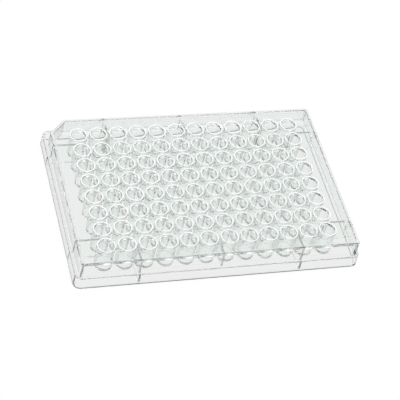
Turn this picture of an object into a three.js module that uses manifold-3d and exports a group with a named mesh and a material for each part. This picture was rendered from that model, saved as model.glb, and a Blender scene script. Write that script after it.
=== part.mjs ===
// A clear 96-well plate for the lab bench, moulded in one piece.
//
// The plate stands on the lower edge of its skirt. +Z is up, the origin is the middle of the footprint on the
// bench, +X runs along the columns from 1 to 12 and +Y towards row A. Sizes are in millimetres.

import * as THREE from 'three';
import { mergeVertices } from 'three/addons/utils/BufferGeometryUtils.js';
import Module from 'manifold-3d';

// Well grid, and what lies round it
const columns = 12;
const rows = 8;
const wellPitch = 9;
const endMargin = 14.38; // from the centre of well A1 to the short edge of the footprint
const sideMargin = 11.24; // from the centre of well A1 to the long edge of the footprint
const plateHeight = 14.2;

// Skirt: a flange at the foot, a ledge on top of it, and an upright wall that ends in the rim
const flangeHeight = 6.1;
const flangeRadius = 3.18; // round corners of the footprint
const flangeDraft = 0.35; // how much the flange leans in from its foot to the ledge
const sideLedgeWidth = 1.2; // along the long sides
const endLedgeWidth = 1.45; // along the short sides
const ledgeThickness = 1.2;
const wallDraft = 0.35; // how much the wall leans in from the ledge to the rim
const wallThickness = 1.35;
const wallRadius = 0.9;
const cutCorner = 7.2; // the rim's corner beside well A1 is cut off by this much along each side

// Deck: the sheet that carries the wells, sunk below the rim
const wellDrop = 0.45; // from the rim down to the mouths of the wells
const mouthHeight = 0.8; // how far the mouths stand up from the deck
const deckThickness = 1;

// Wells: tapered bores with flat floors, each in its own thin chimney
const mouthRadius = 3.43;
const boreTaper = 0.23; // how much narrower a bore is at its floor than at its mouth
const floorThickness = 1.2;
const floorClearance = 1.75; // from the bench up to the underside of the wells
const wellWall = 0.6; // between a bore and the outside of its chimney

// Ribs: upright webs under the deck, from the skirt in to the nearest row or column of wells
const ribThickness = 1;
const ribClearance = 0.8; // from the bench up to the full ribs
const sideRibSpacing = 4; // in pitches, from the middle rib of a long side to its outer ribs
const endRibSpacing = 3; // in pitches, from the plate's middle line to the ribs of a short side

// Faces that stand in for the round walls
const wellSides = 10;
const cornerSteps = 2;

// A cut starts this far outside the material, so that no face of it lies in a face of the plate
const overrun = 1;

const halfRow = ((columns - 1) * wellPitch) / 2; // from the plate's middle to the end wells of a row
const halfColumn = ((rows - 1) * wellPitch) / 2; // from the plate's middle to the end wells of a column
const halfLength = halfRow + endMargin;
const halfWidth = halfColumn + sideMargin;
const mouthLevel = plateHeight - wellDrop;
const deckTop = mouthLevel - mouthHeight;
const deckUnderside = deckTop - deckThickness;
const ledgeUnderside = flangeHeight - ledgeThickness;
const floorLevel = floorClearance + floorThickness;
const floorRadius = mouthRadius - boreTaper;
const chimneyTopRadius = mouthRadius + wellWall;
const chimneyFootRadius = floorRadius + wellWall;

const wasm = await Module();
wasm.setup();

// Turns a closed three.js geometry into a solid that can be joined and cut.
function solidOf(geometry) {
  const bare = geometry.clone();
  bare.deleteAttribute('normal');
  bare.deleteAttribute('uv');
  const merged = mergeVertices(bare, 1e-4);
  return new wasm.Manifold(new wasm.Mesh({
    numProp: 3,
    vertProperties: new Float32Array(merged.attributes.position.array),
    triVerts: new Uint32Array(merged.index.array),
  }));
}

// Turns a solid back into a three.js geometry.
function geometryOf(solid) {
  const mesh = solid.getMesh();
  const geometry = new THREE.BufferGeometry();
  geometry.setAttribute('position', new THREE.BufferAttribute(new Float32Array(mesh.vertProperties), 3));
  geometry.setIndex(new THREE.BufferAttribute(new Uint32Array(mesh.triVerts), 1));
  geometry.computeVertexNormals();
  return geometry;
}

// The plate's outline at one level: a rectangle whose corner beside well A1 may be cut, with every corner rounded.
function plateOutline(halfX, halfY, radius, cut) {
  const corners = [
    new THREE.Vector2(halfX, -halfY),
    new THREE.Vector2(halfX, halfY),
    new THREE.Vector2(-halfX + cut, halfY),
    new THREE.Vector2(-halfX, halfY - cut),
    new THREE.Vector2(-halfX, -halfY),
  ];
  if (cut === 0) {
    corners.splice(3, 1);
  }
  const shape = new THREE.Shape();
  corners.forEach((corner, i) => {
    const before = corners.at(i - 1).clone().sub(corner).normalize();
    const after = corners[(i + 1) % corners.length].clone().sub(corner).normalize();
    const halfAngle = Math.acos(before.dot(after)) / 2;
    const toCentre = before.clone().add(after).normalize().multiplyScalar(radius / Math.sin(halfAngle));
    const centre = corner.clone().add(toCentre);
    const start = Math.atan2(-before.x, before.y);
    shape.absarc(centre.x, centre.y, radius, start + Math.PI, start + 2 * Math.PI - 2 * halfAngle, false);
  });
  return shape.getPoints(cornerSteps);
}

// A closed body through outlines of equal length, one for each level from the bottom up.
function loft(levels) {
  const outlines = levels.map(({ outline }) => tidyOutline(outline));
  const count = outlines[0].length;
  const positions = levels.flatMap(({ z }, level) => outlines[level].flatMap((p) => [p.x, p.y, z]));
  const index = [];
  for (let level = 0; level + 1 < levels.length; level += 1) {
    for (let i = 0; i < count; i += 1) {
      const a = level * count + i;
      const b = level * count + ((i + 1) % count);
      index.push(a, b, b + count, a, b + count, a + count);
    }
  }
  const top = (levels.length - 1) * count;
  for (const [a, b, c] of THREE.ShapeUtils.triangulateShape(outlines[0], [])) {
    index.push(c, b, a);
  }
  for (const [a, b, c] of THREE.ShapeUtils.triangulateShape(outlines.at(-1), [])) {
    index.push(top + a, top + b, top + c);
  }
  const geometry = new THREE.BufferGeometry();
  geometry.setAttribute('position', new THREE.Float32BufferAttribute(positions, 3));
  geometry.setIndex(index);
  return solidOf(geometry);
}

// The outline without a last point that repeats the first.
function tidyOutline(points) {
  return points.at(-1).distanceTo(points[0]) < 1e-6 ? points.slice(0, -1) : points;
}

// The skirt's outer outline at a height in the flange, moved in by an offset.
function flangeOutline(z, offset) {
  const inset = offset + flangeDraft * (z / flangeHeight);
  return plateOutline(halfLength - inset, halfWidth - inset, flangeRadius - Math.min(offset, flangeRadius / 2), 0);
}

// The skirt's outer outline at a height in the wall above the ledge, moved in by an offset.
function wallOutline(z, offset) {
  const rise = (z - flangeHeight) / (plateHeight - flangeHeight);
  const inset = flangeDraft + wallDraft * rise + offset;
  const cut = cutCorner - offset * (2 - Math.SQRT2);
  return plateOutline(halfLength - endLedgeWidth - inset, halfWidth - sideLedgeWidth - inset, wallRadius, cut);
}

// An upright round body between two levels, whose faces touch the true cone from outside.
function cone(bottomRadius, topRadius, bottom, top) {
  const section = (radius) => {
    const toCorner = radius / Math.cos(Math.PI / wellSides);
    return Array.from({ length: wellSides }, (_, i) => {
      const angle = ((i + 0.5) * 2 * Math.PI) / wellSides;
      return new THREE.Vector2(toCorner * Math.cos(angle), toCorner * Math.sin(angle));
    });
  };
  return loft([
    { z: bottom, outline: section(bottomRadius) },
    { z: top, outline: section(topRadius) },
  ]);
}

// An upright slab between two opposite corners, given in either order.
function slab(cornerA, cornerB) {
  const box = new THREE.Box3().setFromPoints([cornerA, cornerB]);
  const size = box.getSize(new THREE.Vector3());
  const middle = box.getCenter(new THREE.Vector3());
  return solidOf(new THREE.BoxGeometry(size.x, size.y, size.z).translate(middle.x, middle.y, middle.z));
}

// Joins many solids, two by two, so that no step gets much larger than it must be.
function joinAll(solids) {
  if (solids.length === 1) {
    return solids[0];
  }
  const middle = solids.length >> 1;
  return joinAll(solids.slice(0, middle)).add(joinAll(solids.slice(middle)));
}

const outerForm = loft([
  { z: 0, outline: flangeOutline(0, 0) },
  { z: flangeHeight, outline: flangeOutline(flangeHeight, 0) },
]).add(loft([
  { z: ledgeUnderside, outline: wallOutline(ledgeUnderside, 0) },
  { z: plateHeight, outline: wallOutline(plateHeight, 0) },
]));

// The hollow under the deck is wide inside the flange and narrower inside the wall.
function underside() {
  return loft([
    { z: -overrun, outline: flangeOutline(-overrun, wallThickness) },
    { z: ledgeUnderside, outline: flangeOutline(ledgeUnderside, wallThickness) },
  ]).add(loft([
    { z: ledgeUnderside - overrun, outline: wallOutline(ledgeUnderside - overrun, wallThickness) },
    { z: deckUnderside, outline: wallOutline(deckUnderside, wallThickness) },
  ]));
}

// The shallow tray above the deck, inside the rim.
function tray() {
  return loft([
    { z: deckTop, outline: wallOutline(deckTop, wallThickness) },
    { z: plateHeight + overrun, outline: wallOutline(plateHeight + overrun, wallThickness) },
  ]);
}

// Ribs reach from the skirt to the middle line of the outermost wells, where the gap between two wells is narrowest.
// The middle rib of a long side ends at the ledge, and the others go on down inside the flange.
function ribs() {
  const half = ribThickness / 2;
  const top = (deckTop + deckUnderside) / 2;
  const webs = [];
  for (const side of [-1, 1]) {
    for (const step of [-sideRibSpacing, 0, sideRibSpacing]) {
      const x = step * wellPitch;
      const foot = step === 0 ? ledgeUnderside : ribClearance;
      webs.push(slab(
        new THREE.Vector3(x - half, side * halfColumn, foot),
        new THREE.Vector3(x + half, side * halfWidth, top),
      ));
    }
    for (const step of [-endRibSpacing, endRibSpacing]) {
      const y = step * wellPitch;
      webs.push(slab(
        new THREE.Vector3(side * halfRow, y - half, ribClearance),
        new THREE.Vector3(side * halfLength, y + half, top),
      ));
    }
  }
  return joinAll(webs).intersect(outerForm);
}

// One copy of a solid at every well.
function atEveryWell(solid) {
  const copies = [];
  for (let column = 0; column < columns; column += 1) {
    for (let row = 0; row < rows; row += 1) {
      const x = column * wellPitch - halfRow;
      const y = halfColumn - row * wellPitch;
      copies.push(solid.translate([x, y, 0]));
    }
  }
  return joinAll(copies);
}

function wellPlate() {
  const slope = (mouthRadius - floorRadius) / (mouthLevel - floorLevel);
  const chimney = cone(chimneyFootRadius, chimneyTopRadius, floorClearance, mouthLevel);
  const bore = cone(floorRadius, mouthRadius + slope * overrun, floorLevel, mouthLevel + overrun);
  return outerForm
    .subtract(underside())
    .subtract(tray())
    .add(ribs())
    .add(atEveryWell(chimney))
    .subtract(atEveryWell(bore));
}

const clearPlastic = new THREE.MeshStandardMaterial({
  color: 0xdfe5e3,
  roughness: 0.08,
  metalness: 0,
  transparent: true,
  opacity: 0.35,
});

const plate = new THREE.Mesh(geometryOf(wellPlate()), clearPlastic);
plate.name = 'well_plate';

const model = new THREE.Group();
model.add(plate);

export default model;
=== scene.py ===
# A clear 96-well plate on a white bench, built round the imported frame.
# The plate is worked out in millimetres and brought to metres at the end.
import math

import bmesh
import bpy
from mathutils import Matrix, Quaternion, Vector


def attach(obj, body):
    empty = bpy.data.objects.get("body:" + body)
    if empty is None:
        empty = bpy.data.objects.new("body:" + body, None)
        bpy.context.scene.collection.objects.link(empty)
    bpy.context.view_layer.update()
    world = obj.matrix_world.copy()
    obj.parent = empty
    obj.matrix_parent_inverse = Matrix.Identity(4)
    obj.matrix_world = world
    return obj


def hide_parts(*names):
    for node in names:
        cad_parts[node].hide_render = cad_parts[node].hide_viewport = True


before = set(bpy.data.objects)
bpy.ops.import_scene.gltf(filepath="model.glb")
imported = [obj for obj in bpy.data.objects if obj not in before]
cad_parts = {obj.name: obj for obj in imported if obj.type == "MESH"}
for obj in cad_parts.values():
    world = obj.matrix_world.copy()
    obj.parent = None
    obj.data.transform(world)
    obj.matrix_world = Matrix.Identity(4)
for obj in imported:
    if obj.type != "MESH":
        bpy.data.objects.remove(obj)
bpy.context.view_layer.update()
print("frame loaded")

millimetre = 0.001
overrun = 1.0  # millimetres that a cutter reaches out of what it cuts


# one output socket of a node; arithmetic on it adds Math nodes
class Wire:
    def __init__(self, sheet, socket):
        self.sheet = sheet
        self.socket = socket

    def maths(self, operation, first, second=0.0, clamp=False):
        settings = {"operation": operation, "use_clamp": clamp}
        return self.sheet.add("ShaderNodeMath", settings, {0: first, 1: second})

    def __add__(self, other):
        return self.maths("ADD", self, other)

    def __radd__(self, other):
        return self.maths("ADD", other, self)

    def __sub__(self, other):
        return self.maths("SUBTRACT", self, other)

    def __rsub__(self, other):
        return self.maths("SUBTRACT", other, self)

    def __mul__(self, other):
        return self.maths("MULTIPLY", self, other)

    def __rmul__(self, other):
        return self.maths("MULTIPLY", other, self)

    def __pow__(self, other):
        # powers are only taken of shares, so they stay between 0 and 1
        return self.maths("POWER", self, other, True)

    def __rpow__(self, other):
        return self.maths("POWER", other, self, True)

    def __gt__(self, other):
        return self.maths("GREATER_THAN", self, other)

    def __lt__(self, other):
        return self.maths("LESS_THAN", self, other)

    def __abs__(self):
        return self.maths("ABSOLUTE", self)

    def orMore(self, other):
        return self.maths("MAXIMUM", self, other)

    def clamped(self):
        return self.maths("ADD", self, 0.0, True)


# the node tree of a material or a world
class Sheet:
    def __init__(self, owner):
        owner.use_nodes = True
        self.tree = owner.node_tree
        self.tree.nodes.clear()

    def add(self, kind, settings, sockets, output=0):
        node = self.tree.nodes.new(kind)
        for name, value in settings.items():
            if name == "stops":
                ramp = node.color_ramp
                while len(ramp.elements) < len(value):
                    ramp.elements.new(1.0)
                for element, (place, shade) in zip(ramp.elements, value):
                    element.position = place
                    element.color = shade
            else:
                setattr(node, name, value)
        for name, value in sockets.items():
            if isinstance(value, Wire):
                self.tree.links.new(value.socket, node.inputs[name])
            else:
                node.inputs[name].default_value = value
        return Wire(self, node.outputs[output]) if node.outputs else None

    def lightPath(self, which):
        return self.add("ShaderNodeLightPath", {}, {}, which)

    def mixColours(self, share, first, second):
        # a Mix node's colours are its sockets 6 and 7, and its output 2
        return self.add("ShaderNodeMix", {"data_type": "RGBA"}, {0: share, 6: first, 7: second}, 2)

    def mixShaders(self, share, first, second):
        return self.add("ShaderNodeMixShader", {}, {0: share, 1: first, 2: second})

    def clearCore(self, colour):
        # polished clear plastic with no marks
        return self.add("ShaderNodeBsdfPrincipled", {}, {
            "Base Color": colour,
            "Roughness": 0.0,
            "IOR": clearPlastic["ior"],
            "Transmission Weight": 1.0,
        })

    def finish(self, kind, shader):
        self.add(kind, {}, {"Surface": shader})


def grey(level):
    return (level, level, level, 1.0)


def meshFrom(name, vertices, faces):
    mesh = bpy.data.meshes.new(name)
    mesh.from_pydata(vertices, [], faces)
    mesh.validate()
    piece = bpy.data.objects.new(name, mesh)
    bpy.context.scene.collection.objects.link(piece)
    return piece


def loft(name, levels):
    # levels are (height, outline) from the bottom up, every outline with as many points
    count = len(levels[0][1])
    vertices = [(x, y, z) for z, outline in levels for x, y in outline]
    faces = [tuple(reversed(range(count)))]
    for level in range(len(levels) - 1):
        low = level * count
        for i in range(count):
            after = (i + 1) % count
            faces.append((low + i, low + after, low + count + after, low + count + i))
    faces.append(tuple(range((len(levels) - 1) * count, len(levels) * count)))
    return meshFrom(name, vertices, faces)


def combine(target, operation, tool):
    # joins the tool to the target or cuts it out, and uses the tool up
    modifier = target.modifiers.new("join", "BOOLEAN")
    modifier.operation = operation
    modifier.solver = "MANIFOLD"
    modifier.object = tool
    depsgraph = bpy.context.evaluated_depsgraph_get()
    result = bpy.data.meshes.new_from_object(target.evaluated_get(depsgraph))
    target.modifiers.clear()
    old = target.data
    target.data = result
    bpy.data.meshes.remove(old)
    bpy.data.objects.remove(tool)
    return target


def outward(piece):
    # turns every face to look out of its solid
    shape = bmesh.new()
    shape.from_mesh(piece.data)
    bmesh.ops.recalc_face_normals(shape, faces=shape.faces)
    shape.to_mesh(piece.data)
    shape.free()


def arc(centreX, centreY, radius, start, end, steps):
    # start and end are in degrees
    points = []
    for step in range(steps + 1):
        angle = math.radians(start + (end - start) * step / steps)
        points.append((centreX + radius * math.cos(angle), centreY + radius * math.sin(angle)))
    return points


def roundedOutline(halfX, halfY, radius, cut=0.0):
    # anticlockwise from the front right corner; the corner beside well A1 may be cut off
    corners = [(halfX, -halfY), (halfX, halfY), (-halfX + cut, halfY), (-halfX, -halfY)]
    if cut > 0:
        corners.insert(3, (-halfX, halfY - cut))
    corners = [Vector(corner) for corner in corners]
    points = []
    for i, corner in enumerate(corners):
        before = (corners[i - 1] - corner).normalized()
        after = (corners[(i + 1) % len(corners)] - corner).normalized()
        halfAngle = before.angle(after) / 2
        centre = corner + (before + after).normalized() * (radius / math.sin(halfAngle))
        start = math.degrees(math.atan2(-before.x, before.y)) + 180
        end = start + 180 - math.degrees(2 * halfAngle)
        points += arc(centre.x, centre.y, radius, start, end, plate["cornerSteps"])
    return points


# the plate's sizes are in millimetres
plate = {
    "columns": 12,
    "rows": 8,
    "wellPitch": 9.0,
    "endMargin": 14.38,  # from the centre of well A1 to the short edge
    "sideMargin": 11.24,  # from the centre of well A1 to the long edge
    "height": 14.2,
    "cornerSteps": 6,  # flats to each upright rounded corner
    "roundingSteps": 3,  # flats to each rounded edge
}
halfRow = (plate["columns"] - 1) * plate["wellPitch"] / 2
halfColumn = (plate["rows"] - 1) * plate["wellPitch"] / 2
halfLength = halfRow + plate["endMargin"]
halfWidth = halfColumn + plate["sideMargin"]

skirt = {
    "flangeHeight": 6.1,
    "flangeRadius": 3.18,
    "flangeDraft": 0.35,  # how far the flange's face leans in from foot to ledge
    "sideLedgeWidth": 1.2,
    "endLedgeWidth": 1.45,
    "ledgeThickness": 1.2,
    "wallDraft": 0.35,
    "wallThickness": 1.35,
    "wallRadius": 0.9,
    "cutCorner": 7.2,  # legs of the corner cut off beside well A1
    "footRounding": 0.2,
    "ledgeRounding": 0.4,
    "rimRounding": 0.6,
}
ledgeUnderside = skirt["flangeHeight"] - skirt["ledgeThickness"]

deck = {
    "wellDrop": 0.45,  # from the rim down to the mouths of the wells
    "mouthHeight": 0.8,  # how far the mouths stand up from the deck
    "thickness": 1.0,
}
mouthLevel = plate["height"] - deck["wellDrop"]
deckTop = mouthLevel - deck["mouthHeight"]
deckUnderside = deckTop - deck["thickness"]


# outlines of the flange and of the wall at a height, moved inwards by the offset
def flangeAt(z, offset):
    inset = offset + skirt["flangeDraft"] * z / skirt["flangeHeight"]
    radius = skirt["flangeRadius"] - min(offset, skirt["flangeRadius"] / 2)
    return z, roundedOutline(halfLength - inset, halfWidth - inset, radius)


def wallAt(z, offset):
    rise = (z - skirt["flangeHeight"]) / (plate["height"] - skirt["flangeHeight"])
    inset = skirt["flangeDraft"] + skirt["wallDraft"] * rise + offset
    cut = skirt["cutCorner"] - offset * (2 - math.sqrt(2))  # keeps the wall as thick along the cut
    outX = halfLength - skirt["endLedgeWidth"] - inset
    outY = halfWidth - skirt["sideLedgeWidth"] - inset
    return z, roundedOutline(outX, outY, skirt["wallRadius"], cut)


def foldedEdge(outlineAt, edgeLevel, radius, offset, upward, inward):
    # a quarter round between an upright face and a level one
    levels = []
    steps = plate["roundingSteps"]
    for step in range(steps + 1):
        angle = math.pi / 2 * step / steps
        short, long = radius * (1 - math.sin(angle)), radius * (1 - math.cos(angle))
        run, rise = (long, short) if upward else (short, long)
        level = edgeLevel - rise if upward else edgeLevel + rise
        levels.append(outlineAt(level, offset + (run if inward else -run)))
    return levels


def buildSkirt():
    # the outside first, then the hollow below the deck and the tray above it
    foot, rim, wall = skirt["footRounding"], skirt["rimRounding"], skirt["wallThickness"]
    flangeTop, plateTop = skirt["flangeHeight"], plate["height"]
    outFoot = foldedEdge(flangeAt, 0, foot, 0, False, True)
    outLedge = foldedEdge(flangeAt, flangeTop, skirt["ledgeRounding"], 0, True, True)
    outRim = foldedEdge(wallAt, plateTop, rim, 0, True, True)
    body = loft("flange", outFoot + outLedge)
    body = combine(body, "UNION", loft("upright", [wallAt(ledgeUnderside, 0)] + outRim))
    inFoot = [flangeAt(-overrun, wall - foot)] + foldedEdge(flangeAt, 0, foot, wall, False, False)
    hollow = loft("lowHollow", inFoot + [flangeAt(ledgeUnderside, wall)])
    highHollow = loft("highHollow", [wallAt(ledgeUnderside - overrun, wall), wallAt(deckUnderside, wall)])
    body = combine(body, "DIFFERENCE", combine(hollow, "UNION", highHollow))
    inRim = foldedEdge(wallAt, plateTop, rim, wall, True, False) + [wallAt(plateTop + overrun, wall - rim)]
    return combine(body, "DIFFERENCE", loft("tray", [wallAt(deckTop, wall)] + inRim))


ribs = {
    "thickness": 1.0,
    "clearance": 0.8,  # from the bench up to the full ribs
    "sideSteps": (-4, 0, 4),  # in pitches from the middle
    "endSteps": (-3, 3),
}


def ribProfile(inner, outer, foot, ledgeWidth):
    # points are (distance out from the plate's middle, height); each rib reaches the middle
    # of the flange below the ledge, and the middle of the wall above it
    flangeReach = outer - skirt["flangeDraft"] - skirt["wallThickness"] / 2
    wallReach = flangeReach - ledgeWidth
    top = (deckTop + deckUnderside) / 2
    shelf = ledgeUnderside + skirt["ledgeThickness"] / 2
    low = [(wallReach, foot)]
    if foot < ledgeUnderside:
        low = [(flangeReach, foot), (flangeReach, shelf), (wallReach, shelf)]
    return [(inner, foot)] + low + [(wallReach, top), (inner, top)]


def buildRibs():
    half = ribs["thickness"] / 2
    vertices, faces = [], []

    def addRib(profile, place):
        start, count = len(vertices), len(profile)
        for across in (-half, half):
            vertices.extend(place(out, across, z) for out, z in profile)
        faces.append(tuple(range(start, start + count)))
        faces.append(tuple(reversed(range(start + count, start + 2 * count))))
        for i in range(count):
            after = (i + 1) % count
            faces.append((start + after, start + i, start + count + i, start + count + after))

    for side in (-1, 1):
        for step in ribs["sideSteps"]:
            x = step * plate["wellPitch"]
            # the middle rib of a long side stops at the ledge
            foot = ledgeUnderside if step == 0 else ribs["clearance"]
            profile = ribProfile(halfColumn, halfWidth, foot, skirt["sideLedgeWidth"])
            addRib(profile, lambda out, across, z: (x + across, side * out, z))
        for step in ribs["endSteps"]:
            y = step * plate["wellPitch"]
            profile = ribProfile(halfRow, halfLength, ribs["clearance"], skirt["endLedgeWidth"])
            addRib(profile, lambda out, across, z: (side * out, y + across, z))
    webs = meshFrom("ribs", vertices, faces)
    outward(webs)
    return webs


wells = {
    "mouthRadius": 3.43,
    "floorRadius": 3.2,
    "floorThickness": 1.2,
    "floorClearance": 1.75,  # from the bench up to the underside of the wells
    "chimneyTopRadius": 4.03,
    "chimneyFootRadius": 3.8,
    "chimneyRounding": 0.3,
    "floorRounding": 0.2,
    "mouthRounding": 0.08,
    "deckFillet": 0.05,
    "lipWidth": 0.55,
    "lipDepth": 0.02,  # how far the lip dips towards the bore
    "sides": 32,
}
chimneyFoot = wells["floorClearance"]
boreFloor = chimneyFoot + wells["floorThickness"]


def chimneyRadius(z):
    share = (z - chimneyFoot) / (mouthLevel - chimneyFoot)
    return wells["chimneyFootRadius"] + (wells["chimneyTopRadius"] - wells["chimneyFootRadius"]) * share


def boreRadius(z):
    share = (z - boreFloor) / (mouthLevel - boreFloor)
    return wells["floorRadius"] + (wells["mouthRadius"] - wells["floorRadius"]) * share


# sections of a well's outside and of its bore, as (radius, height) from the bottom up
def chimneySection():
    foot, fillet, mouth = wells["chimneyRounding"], wells["deckFillet"], wells["mouthRounding"]
    # height, radius, first and last angle, and how far out its centre is
    rounds = [
        (chimneyFoot + foot, foot, -90, 0, -foot),
        (deckUnderside - fillet, fillet, 180, 90, fillet),
        (deckTop + fillet, fillet, -90, -180, fillet),
        (mouthLevel - mouth, mouth, 0, 90, -mouth),
    ]
    section = []
    for level, radius, start, end, out in rounds:
        turn = arc(0, level, radius, start, end, plate["roundingSteps"])
        section += [(chimneyRadius(z) + out + r, z) for r, z in turn]
    return section


def boreSection():
    floor, mouth = wells["floorRounding"], wells["mouthRounding"]
    steps = plate["roundingSteps"]
    lipEdge = wells["mouthRadius"] + wells["lipWidth"]
    low = arc(0, boreFloor + floor, floor, -90, 0, steps)
    high = arc(0, mouthLevel - wells["lipDepth"] - mouth, mouth, 180, 90, steps)
    section = [(boreRadius(z) - floor + r, z) for r, z in low]
    section += [(boreRadius(z) + mouth + r, z) for r, z in high]
    return section + [(lipEdge, mouthLevel), (lipEdge, mouthLevel + overrun)]


def atEveryWell(name, section):
    # turns the section into a solid, with a copy at each well from A1 on
    sides = wells["sides"]
    turns = [2 * math.pi * (i + 0.5) / sides for i in range(sides)]
    one = loft(name, [(z, [(r * math.cos(t), r * math.sin(t)) for t in turns]) for r, z in section])
    vertices, faces = [], []
    for column in range(plate["columns"]):
        for row in range(plate["rows"]):
            x = column * plate["wellPitch"] - halfRow
            y = halfColumn - row * plate["wellPitch"]
            start = len(vertices)
            vertices += [(v.co.x + x, v.co.y + y, v.co.z) for v in one.data.vertices]
            faces += [tuple(start + i for i in face.vertices) for face in one.data.polygons]
    bpy.data.objects.remove(one)
    return meshFrom(name, vertices, faces)


def buildPlate():
    body = buildSkirt()
    print("skirt, ledge and tray made")
    body = combine(body, "UNION", buildRibs())
    print("ribs joined")
    body = combine(body, "UNION", atEveryWell("chimneys", chimneySection()))
    body = combine(body, "DIFFERENCE", atEveryWell("bores", boreSection()))
    print("wells bored")
    return body


clearPlastic = {
    "edgeColour": (0.03, 0.033, 0.032, 1.0),  # painted shade: the near black that a surface's colour turns to at a grazing slant, for the dark lines along the plate's walls and edges
    "shadowColour": (0.94, 0.95, 0.945, 1.0),
    "ior": 1.59,
    "roughness": 0.0,
    "roughnessSpread": 0.01,  # how much rougher it gets where the melt has flowed unevenly
    "flowScale": 60.0,
    "drawScale": 1200.0,  # upright marks left by the mould
    "drawHeight": 0.04,  # lower values make the marks longer
    "drawDetail": 1.0,
}
# a higher power keeps the painted grazing shade to a narrower slant; drawDepth is in metres
clearWells = {"colour": (0.972, 0.994, 0.983, 1.0), "edge": 3.3, "drawDepth": 0.00003}
# the deck's colour is darker than the wells': painted shade for the shaded bench seen through the deck
shadedDeck = {"colour": (0.93, 0.955, 0.94, 1.0), "edge": 3.3, "drawDepth": 0.0}
clearSkirt = {"colour": (0.988, 1.0, 0.993, 1.0), "edge": 8.0, "drawDepth": 0.000003}


def letLampsThrough(sheet, plastic, shadowColour):
    # a lamp's light passes the plastic with a little loss
    through = sheet.add("ShaderNodeBsdfTransparent", {}, {"Color": shadowColour})
    whole = sheet.mixShaders(sheet.lightPath("Is Shadow Ray"), plastic, through)
    sheet.finish("ShaderNodeOutputMaterial", whole)


def drawMarks(sheet, depth):
    # the mould's marks run up the standing faces and die out on the level ones
    finish = clearPlastic
    place = sheet.add("ShaderNodeTexCoord", {}, {}, "Object")
    stretch = {0: place, 1: (1.0, 1.0, finish["drawHeight"])}
    stretched = sheet.add("ShaderNodeVectorMath", {"operation": "MULTIPLY"}, stretch)
    grain = {"Vector": stretched, "Scale": finish["drawScale"], "Detail": finish["drawDetail"]}
    normal = sheet.add("ShaderNodeNewGeometry", {}, {}, "Normal")
    level = abs(sheet.add("ShaderNodeSeparateXYZ", {}, {"Vector": normal}, "Z"))
    height = sheet.add("ShaderNodeTexNoise", {}, grain) * (1.0 - level)
    return sheet.add("ShaderNodeBump", {}, {"Distance": depth, "Height": height})


def makeClearPlastic(name, body):
    finish = clearPlastic
    material = bpy.data.materials.new(name)
    sheet = Sheet(material)
    place = sheet.add("ShaderNodeTexCoord", {}, {}, "Object")
    flow = sheet.add("ShaderNodeTexNoise", {}, {"Vector": place, "Scale": finish["flowScale"]})
    slant = sheet.add("ShaderNodeLayerWeight", {}, {}, "Facing")
    plastic = sheet.add("ShaderNodeBsdfPrincipled", {}, {
        # painted shade: the base colour darkens towards near black at a grazing slant
        "Base Color": sheet.mixColours(slant ** body["edge"], body["colour"], finish["edgeColour"]),
        "Roughness": flow * finish["roughnessSpread"] + finish["roughness"],
        "IOR": finish["ior"],
        "Transmission Weight": 1.0,
        "Normal": drawMarks(sheet, body["drawDepth"]),
    })
    letLampsThrough(sheet, plastic, finish["shadowColour"])
    return material


# the lips' whitish colour is a painted highlight for the bright rings round the mouths
whitenedLipHighlight = {
    "colour": (0.815, 0.83, 0.82, 1.0),
    "clearColour": (0.97, 0.985, 0.975, 1.0),
    "roughness": 0.4,
    "shadowColour": (0.9, 0.9, 0.9, 1.0),
}


def makeLipPlastic():
    # painted highlight: whitish and rough outside, for the bright ring round each mouth, and clear for light
    # that is already in the plastic
    finish = whitenedLipHighlight
    material = bpy.data.materials.new("whitenedLipHighlight")
    sheet = Sheet(material)
    whitened = sheet.add("ShaderNodeBsdfPrincipled", {}, {
        "Base Color": finish["colour"],
        "Roughness": finish["roughness"],
        "IOR": clearPlastic["ior"],
    })
    clear = sheet.clearCore(finish["clearColour"])
    inside = sheet.add("ShaderNodeNewGeometry", {}, {}, "Backfacing")
    letLampsThrough(sheet, sheet.mixShaders(inside, whitened, clear), finish["shadowColour"])
    return material


slantShadedPlastic = {
    "clearColour": (0.97, 0.99, 0.98, 1.0),
    "roughness": 0.5,
    "shadowColour": (0.9, 0.9, 0.9, 1.0),
}
# a higher reach paints shade on a surface at less of a slant, and a higher power does so more suddenly;
# these dark colours are painted shade for the dark line along the foot, the wells' undersides and the ribs'
# flanks
skirtFootShade = {"colour": (0.3, 0.32, 0.31, 1.0), "reach": 1.75, "power": 1.5}
wellFootShade = {"colour": (0.5, 0.53, 0.515, 1.0), "reach": 1.06, "power": 2.1}
ribSideShade = {"colour": (0.2, 0.21, 0.205, 1.0), "reach": 0.78, "power": 2.5}
# the painted shade on the ribs' flanks fades upwards over the reach and is gone at the height, in metres
ribShadeFade = {"height": 0.011, "reach": 0.004}


def makeSlantShadedPlastic(name, finish, insideOnly=False):
    # clear straight through and painted dark at a slant, a painted shade for dark lines;
    # insideOnly keeps the painted shade to light that is already in the plastic
    material = bpy.data.materials.new(name)
    sheet = Sheet(material)
    paintedDark = sheet.add("ShaderNodeBsdfPrincipled", {}, {
        "Base Color": finish["colour"],
        "Roughness": slantShadedPlastic["roughness"],
        "IOR": clearPlastic["ior"],
    })
    clear = sheet.clearCore(slantShadedPlastic["clearColour"])
    share = (sheet.add("ShaderNodeLayerWeight", {}, {}, "Facing") * finish["reach"]) ** finish["power"]
    if insideOnly:
        place = sheet.add("ShaderNodeTexCoord", {}, {}, "Object")
        height = sheet.add("ShaderNodeSeparateXYZ", {}, {"Vector": place}, "Z")
        fade = ((ribShadeFade["height"] - height) * (1.0 / ribShadeFade["reach"])).clamped()
        share = share * fade * sheet.add("ShaderNodeNewGeometry", {}, {}, "Backfacing")
    letLampsThrough(sheet, sheet.mixShaders(share, clear, paintedDark), slantShadedPlastic["shadowColour"])
    return material


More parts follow.
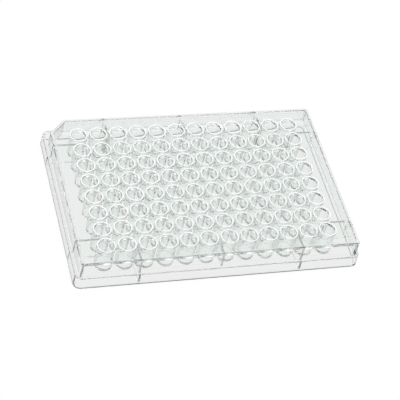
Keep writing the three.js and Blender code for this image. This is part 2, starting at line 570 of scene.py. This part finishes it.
def fromWell(x, y):
    # how far a point is from the middle of the nearest well; wells stand half a pitch off the middle lines
    pitch = plate["wellPitch"]
    return math.hypot((x / pitch) % 1 - 0.5, (y / pitch) % 1 - 0.5) * pitch


finishEdges = {
    "margin": 0.01,  # how far a face may be from its edge and still count
    "skirtReach": 4.0,  # how far the skirt's finish reaches in from the footprint's edges
    "wellTilt": 0.3,  # faces that look down by more than this belong to a well's underside
    "square": 0.95,  # a normal's part along an axis, from which a face counts as square to it
}


def onRibSide(face):
    # whether a face is one of a rib's two flanks, outside the wells
    x, y, z = face.center
    pitch, half, margin = plate["wellPitch"], ribs["thickness"] / 2, finishEdges["margin"]
    if z > deckTop:
        return False
    if abs(face.normal.x) > finishEdges["square"] and abs(y) > halfColumn + half:
        fromRibs = [abs(x - step * pitch) for step in ribs["sideSteps"]]
    elif abs(face.normal.y) > finishEdges["square"] and abs(x) > halfRow + half:
        fromRibs = [abs(y - step * pitch) for step in ribs["endSteps"]]
    else:
        return False
    return abs(min(fromRibs) - half) < margin


def finishOf(face, corners):
    # which of the plate's finishes a face has
    x, y, z = face.center
    margin = finishEdges["margin"]
    if max(corner.z for corner in corners) < skirt["footRounding"] + margin:
        return "skirtFootShade"
    if face.normal.z < -finishEdges["square"] and abs(z - ribs["clearance"]) < margin:
        return "wellFootShade"
    if onRibSide(face):
        return "ribSideShade"
    fromDeck = min(abs(z - deckTop), abs(z - deckUnderside))
    if abs(face.normal.z) > finishEdges["square"] and fromDeck < margin:
        return "deck"
    reach = wells["chimneyTopRadius"]
    if abs(x) < halfRow + reach and abs(y) < halfColumn + reach:
        reaches = [fromWell(corner.x, corner.y) for corner in corners]
        innerEdge = wells["mouthRadius"] + wells["lipWidth"] + margin
        outerEdge = reach - wells["mouthRounding"] - margin
        lipFoot = mouthLevel - wells["lipDepth"] - wells["mouthRounding"] - margin
        if z > lipFoot and (max(reaches) < innerEdge or min(reaches) > outerEdge):
            return "lip"
        underWell = abs(z - chimneyFoot) < wells["chimneyRounding"] + margin
        if underWell and face.normal.z < -finishEdges["wellTilt"]:
            return "wellFootShade"
        return "wells"
    skirtReach = finishEdges["skirtReach"]
    if abs(x) > halfLength - skirtReach or abs(y) > halfWidth - skirtReach:
        return "skirt"
    return "wells"


def finishPlate(body):
    finishes = {
        "wells": makeClearPlastic("clearWells", clearWells),
        "deck": makeClearPlastic("shadedDeck", shadedDeck),
        "skirt": makeClearPlastic("clearSkirt", clearSkirt),
        "lip": makeLipPlastic(),
        "skirtFootShade": makeSlantShadedPlastic("skirtFootShade", skirtFootShade),
        "wellFootShade": makeSlantShadedPlastic("wellFootShade", wellFootShade),
        "ribSideShade": makeSlantShadedPlastic("ribSideShade", ribSideShade, True),
    }
    body.data.materials.clear()
    for material in finishes.values():
        body.data.materials.append(material)
    order = list(finishes)
    tally = dict.fromkeys(order, 0)
    for face in body.data.polygons:
        kind = finishOf(face, [body.data.vertices[v].co for v in face.vertices])
        face.material_index = order.index(kind)
        tally[kind] += 1
    print("faces of each finish", tally)


smoothing = {
    "sharpFrom": 40,  # degrees between two faces
    "weight": 50,
}


def smoothFaces(body):
    body.data.polygons.foreach_set("use_smooth", [True] * len(body.data.polygons))
    body.data.set_sharp_from_angle(angle=math.radians(smoothing["sharpFrom"]))
    weighted = body.modifiers.new("faceNormals", "WEIGHTED_NORMAL")
    weighted.keep_sharp = True
    weighted.weight = smoothing["weight"]


bench = {
    "size": 12.0,  # metres
    "level": -0.00005,  # metres, clear of the plate's foot so that the two don't flicker
    "colour": (0.97, 0.97, 0.97, 1.0),
    "openGlow": 0.96,  # how much of the white the open bench shows as its own
    "shadedGlowInPlastic": 0.85,  # its glow as seen through the plate, lower than the open bench's: painted shade for the plate's shadow on the bench
}


def makeBench():
    half, level = bench["size"] / 2, bench["level"]
    corners = [(-half, -half, level), (half, -half, level), (half, half, level), (-half, half, level)]
    floor = meshFrom("bench", corners, [(0, 1, 2, 3)])
    material = bpy.data.materials.new("whiteBench")
    sheet = Sheet(material)
    paint = sheet.add("ShaderNodeBsdfDiffuse", {}, {"Color": bench["colour"]})
    seen = sheet.lightPath("Is Camera Ray")
    inPlastic = sheet.lightPath("Is Glossy Ray").orMore(sheet.lightPath("Is Transmission Ray"))
    strength = seen * (1.0 - bench["shadedGlowInPlastic"]) + bench["shadedGlowInPlastic"]
    glow = sheet.add("ShaderNodeEmission", {}, {"Color": grey(1.0), "Strength": strength})
    share = (seen * bench["openGlow"]).orMore(inPlastic)
    sheet.finish("ShaderNodeOutputMaterial", sheet.mixShaders(share, paint, glow))
    floor.data.materials.append(material)


sky = {
    # height in the sky from 0 at the horizon to 1 overhead, and how bright it is there
    "bands": ((0.2, 0.7), (0.5, 0.5), (0.7, 0.75), (0.86, 0.7)),
    "overheadFrom": 0.86,
    "overhead": 2.7,  # more light straight down, for the rough faces: the whitened lips and those painted dark at a slant
}


def makeSky():
    world = bpy.data.worlds.new("studio")
    bpy.context.scene.world = world
    sheet = Sheet(world)
    direction = sheet.add("ShaderNodeTexCoord", {}, {}, "Generated")
    height = sheet.add("ShaderNodeSeparateXYZ", {}, {"Vector": direction}, "Z")
    stops = [(place, grey(level)) for place, level in sky["bands"]]
    tint = sheet.add("ShaderNodeValToRGB", {"stops": stops}, {0: height})
    above = (height > sky["overheadFrom"]) * sheet.lightPath("Is Diffuse Ray")
    light = sheet.add("ShaderNodeBackground", {}, {"Color": tint, "Strength": above * sky["overhead"] + 1.0})
    sheet.finish("ShaderNodeOutputWorld", light)


softBox = {
    "place": (0.45, 0.95, 1.1),  # metres; it faces the origin
    "size": 1.8,
    "power": 5.0,  # watts
}


def makeSoftBox():
    lamp = bpy.data.lights.new("softBox", "AREA")
    lamp.size = softBox["size"]
    lamp.energy = softBox["power"]
    holder = bpy.data.objects.new("softBox", lamp)
    holder.location = softBox["place"]
    holder.rotation_mode = "QUATERNION"
    holder.rotation_quaternion = (-Vector(softBox["place"])).to_track_quat("-Z", "Y")
    bpy.context.scene.collection.objects.link(holder)


camera = {
    "target": (-3.59, -10.43, 13.75),  # millimetres, like the distance, the lens and the sensor
    "azimuth": -25.46,  # degrees, 0 looks along +Y
    "elevation": 47.38,
    "roll": 15.54,
    "distance": 616.9,
    "lens": 128.07,
    "sensor": 36.0,
    "nearest": 0.05,  # metres
}


def makeCamera():
    azimuth, elevation = math.radians(camera["azimuth"]), math.radians(camera["elevation"])
    level = math.cos(elevation)
    back = Vector((math.sin(azimuth) * level, -math.cos(azimuth) * level, math.sin(elevation)))
    view = bpy.data.objects.new("camera", bpy.data.cameras.new("camera"))
    view.data.lens = camera["lens"]
    view.data.sensor_width = camera["sensor"]
    view.data.clip_start = camera["nearest"]
    view.location = (Vector(camera["target"]) + back * camera["distance"]) * millimetre
    roll = Quaternion((0, 0, 1), math.radians(camera["roll"]))
    view.rotation_mode = "QUATERNION"
    view.rotation_quaternion = (-back).to_track_quat("-Z", "Y") @ roll
    bpy.context.scene.collection.objects.link(view)
    bpy.context.scene.camera = view


lightPaths = {
    "bounces": 160,  # light crosses many faces inside the plate before it leaves
    "shadowCrossings": 40,  # faces that a lamp's light may pass
}


def setLightPaths():
    cycles = bpy.context.scene.cycles
    cycles.caustics_refractive = False
    cycles.caustics_reflective = False
    cycles.max_bounces = lightPaths["bounces"]
    cycles.transmission_bounces = lightPaths["bounces"]
    cycles.glossy_bounces = lightPaths["bounces"]
    cycles.transparent_max_bounces = lightPaths["shadowCrossings"]


makeCamera()
makeBench()
makeSky()
makeSoftBox()
setLightPaths()
bpy.context.scene.view_settings.view_transform = "Standard"
print("studio set")

body = buildPlate()
body.name = "clearWellPlate"
finishPlate(body)
body.data.transform(Matrix.Scale(millimetre, 4))
smoothFaces(body)
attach(body, "root")
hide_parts("well_plate")
print("plate finished, triangles", sum(len(face.vertices) - 2 for face in body.data.polygons))
